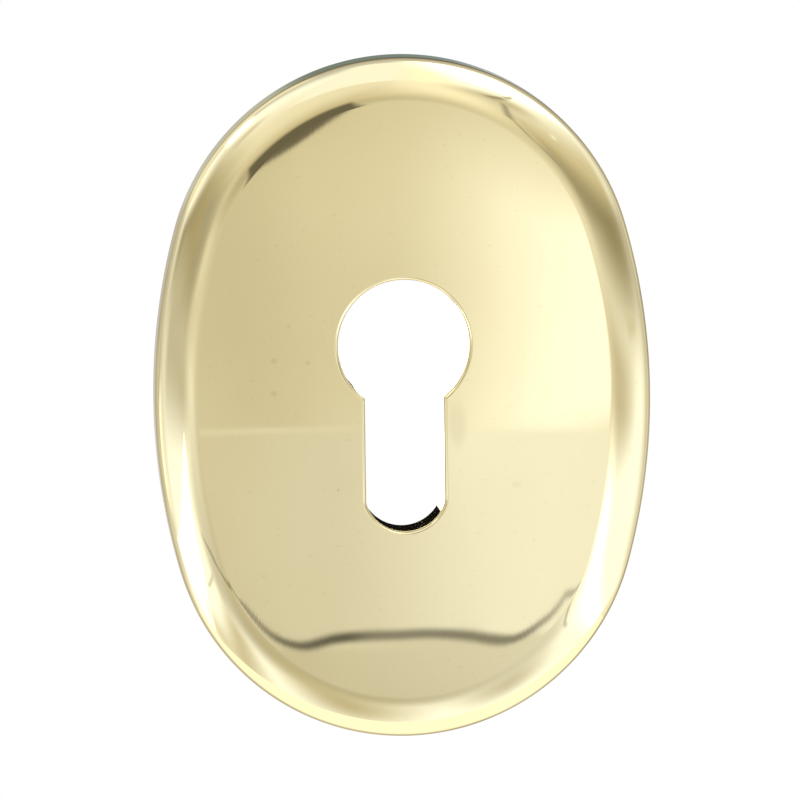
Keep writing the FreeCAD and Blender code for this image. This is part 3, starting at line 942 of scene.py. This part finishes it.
def show_to_metal_only(card):
    """Leave a card to the plate's reflections, so it hides nothing and throws no shadow."""
    for kind in ("camera", "diffuse", "transmission", "volume_scatter", "shadow"):
        setattr(card, "visible_" + kind, False)


def add_upright_card(context, name, middle, half_sizes, material):
    """A card that faces the plate, with its object coordinates on the plate's X and Z."""
    left, right = middle[0] - half_sizes[0], middle[0] + half_sizes[0]
    low, high = middle[2] - half_sizes[1], middle[2] + half_sizes[1]
    corners = [(left, 0.0, low), (right, 0.0, low), (right, 0.0, high), (left, 0.0, high)]
    card = add_sheet(context, name, corners, material)
    card.location.y = middle[1]
    show_to_metal_only(card)


def add_slot_cards(context):
    """A white card close behind the cut-out, and before it a black arch that only the metal sees: a
    painted dark reflection on the slot's end wall in place of shade.
    """
    add_upright_card(context, "white_card", (0.002, 0.062, -0.011), (0.014, 0.023),
                     plain_light("white_card", 5.0))
    outer = ((-0.0088, -0.0214), (-0.0088, -0.0115), (0.0115, -0.0115), (0.0115, -0.0330))
    inner = ((-0.0018, -0.0214), (-0.0018, -0.0149), (0.0018, -0.0149), (0.0018, -0.0330))
    corners = [(x, 0.06, z) for x, z in outer + inner]
    faces = ((0, 1, 5, 4), (1, 2, 6, 5), (2, 3, 7, 6))
    # The black arch paints a dark reflection, standing in for shade, on the slot's end wall.
    arch = add_sheet(context, "slot_shade_arch", corners, plain_light("black_card", 0.01), faces)
    show_to_metal_only(arch)


def level_corners(half_width, near, far, level):
    """The corners of a level sheet."""
    return [(-half_width, near, level), (half_width, near, level),
            (half_width, far, level), (-half_width, far, level)]


def add_low_reflector(context, look):
    """A bright sheet just over the floor, between the studio wall and the plate."""
    corners = level_corners(0.8, -look.wall_distance, -0.02, 0.01 - look.drop)
    sheet = add_sheet(context, "low_reflector", corners, plain_light("low_reflector", 1.35))
    show_to_metal_only(sheet)


def add_floor(context, look):
    add_sheet(context, "floor", level_corners(3.0, -3.0, 3.0, -look.drop), floor_material())


def add_light(context, look):
    world = bpy.data.worlds.new("studio")
    world.use_nodes = True
    tree = world.node_tree
    tree.nodes.clear()
    level = ramp(tree, seen_directly(tree), 0.0, 1.0, look.room_level, 1.0)
    shade = put(tree, "ShaderNodeBackground", {"Color": (1, 1, 1, 1), "Strength": level})
    put(tree, "ShaderNodeOutputWorld", {"Surface": shade.outputs[0]})
    context.scene.world = world
    lamp = bpy.data.lights.new("back_lamp", "AREA")
    lamp.shape = "DISK"
    lamp.size = 0.35
    lamp.energy = look.back_lamp
    holder = bpy.data.objects.new("back_lamp", lamp)
    context.scene.collection.objects.link(holder)
    holder.location = (0.45, 0.60, 0.50)
    holder.rotation_euler = holder.location.to_track_quat("Z", "Y").to_euler()
    holder.visible_glossy = False


# How far the camera aims to the right of the plate's middle and above it.
AIM_OFFSET = (-0.00061, 0.00003)


def add_camera(context, look):
    data = bpy.data.cameras.new("camera")
    data.lens = look.lens
    data.sensor_width = 36.0
    data.clip_start = 0.01
    camera = bpy.data.objects.new("camera", data)
    context.scene.collection.objects.link(camera)
    target = Vector((AIM_OFFSET[0], LOW.y, (HIGH.z + LOW.z) / 2 + AIM_OFFSET[1]))
    away = Vector((math.sin(look.azimuth) * math.cos(look.elevation),
                   -math.cos(look.azimuth) * math.cos(look.elevation), math.sin(look.elevation)))
    camera.location = target + away * look.distance
    turn = away.to_track_quat("Z", "Y").to_matrix().to_4x4()
    camera.rotation_euler = (turn @ Matrix.Rotation(look.roll, 4, "Z")).to_euler()
    context.scene.camera = camera


class ESCUTCHEON_PT_panel(bpy.types.Panel):
    """Sizes, finish and stage of the escutcheon"""

    bl_label = "Keyhole escutcheon"
    bl_idname = "ESCUTCHEON_PT_panel"
    bl_space_type = "VIEW_3D"
    bl_region_type = "UI"
    bl_category = "Escutcheon"

    def draw(self, context):
        layout = self.layout
        for name in ("escutcheon_sizes", "escutcheon_finish", "escutcheon_look"):
            group = getattr(context.scene, name)
            column = layout.column(align=True)
            for key in group.__annotations__:
                column.prop(group, key)
        for operator in (ESCUTCHEON_OT_plate, ESCUTCHEON_OT_stage):
            layout.operator(operator.bl_idname)


CLASSES = (PlateSizes, BrassFinish, StageLook, ESCUTCHEON_OT_plate, ESCUTCHEON_OT_stage,
           ESCUTCHEON_PT_panel)


def register():
    for item in CLASSES:
        bpy.utils.register_class(item)
    bpy.types.Scene.escutcheon_sizes = PointerProperty(type=PlateSizes)
    bpy.types.Scene.escutcheon_finish = PointerProperty(type=BrassFinish)
    bpy.types.Scene.escutcheon_look = PointerProperty(type=StageLook)


def unregister():
    del bpy.types.Scene.escutcheon_look
    del bpy.types.Scene.escutcheon_finish
    del bpy.types.Scene.escutcheon_sizes
    for item in reversed(CLASSES):
        bpy.utils.unregister_class(item)


def main():
    register()
    bpy.ops.escutcheon.stage()
    bpy.ops.escutcheon.plate()


if __name__ == "__main__":
    main()
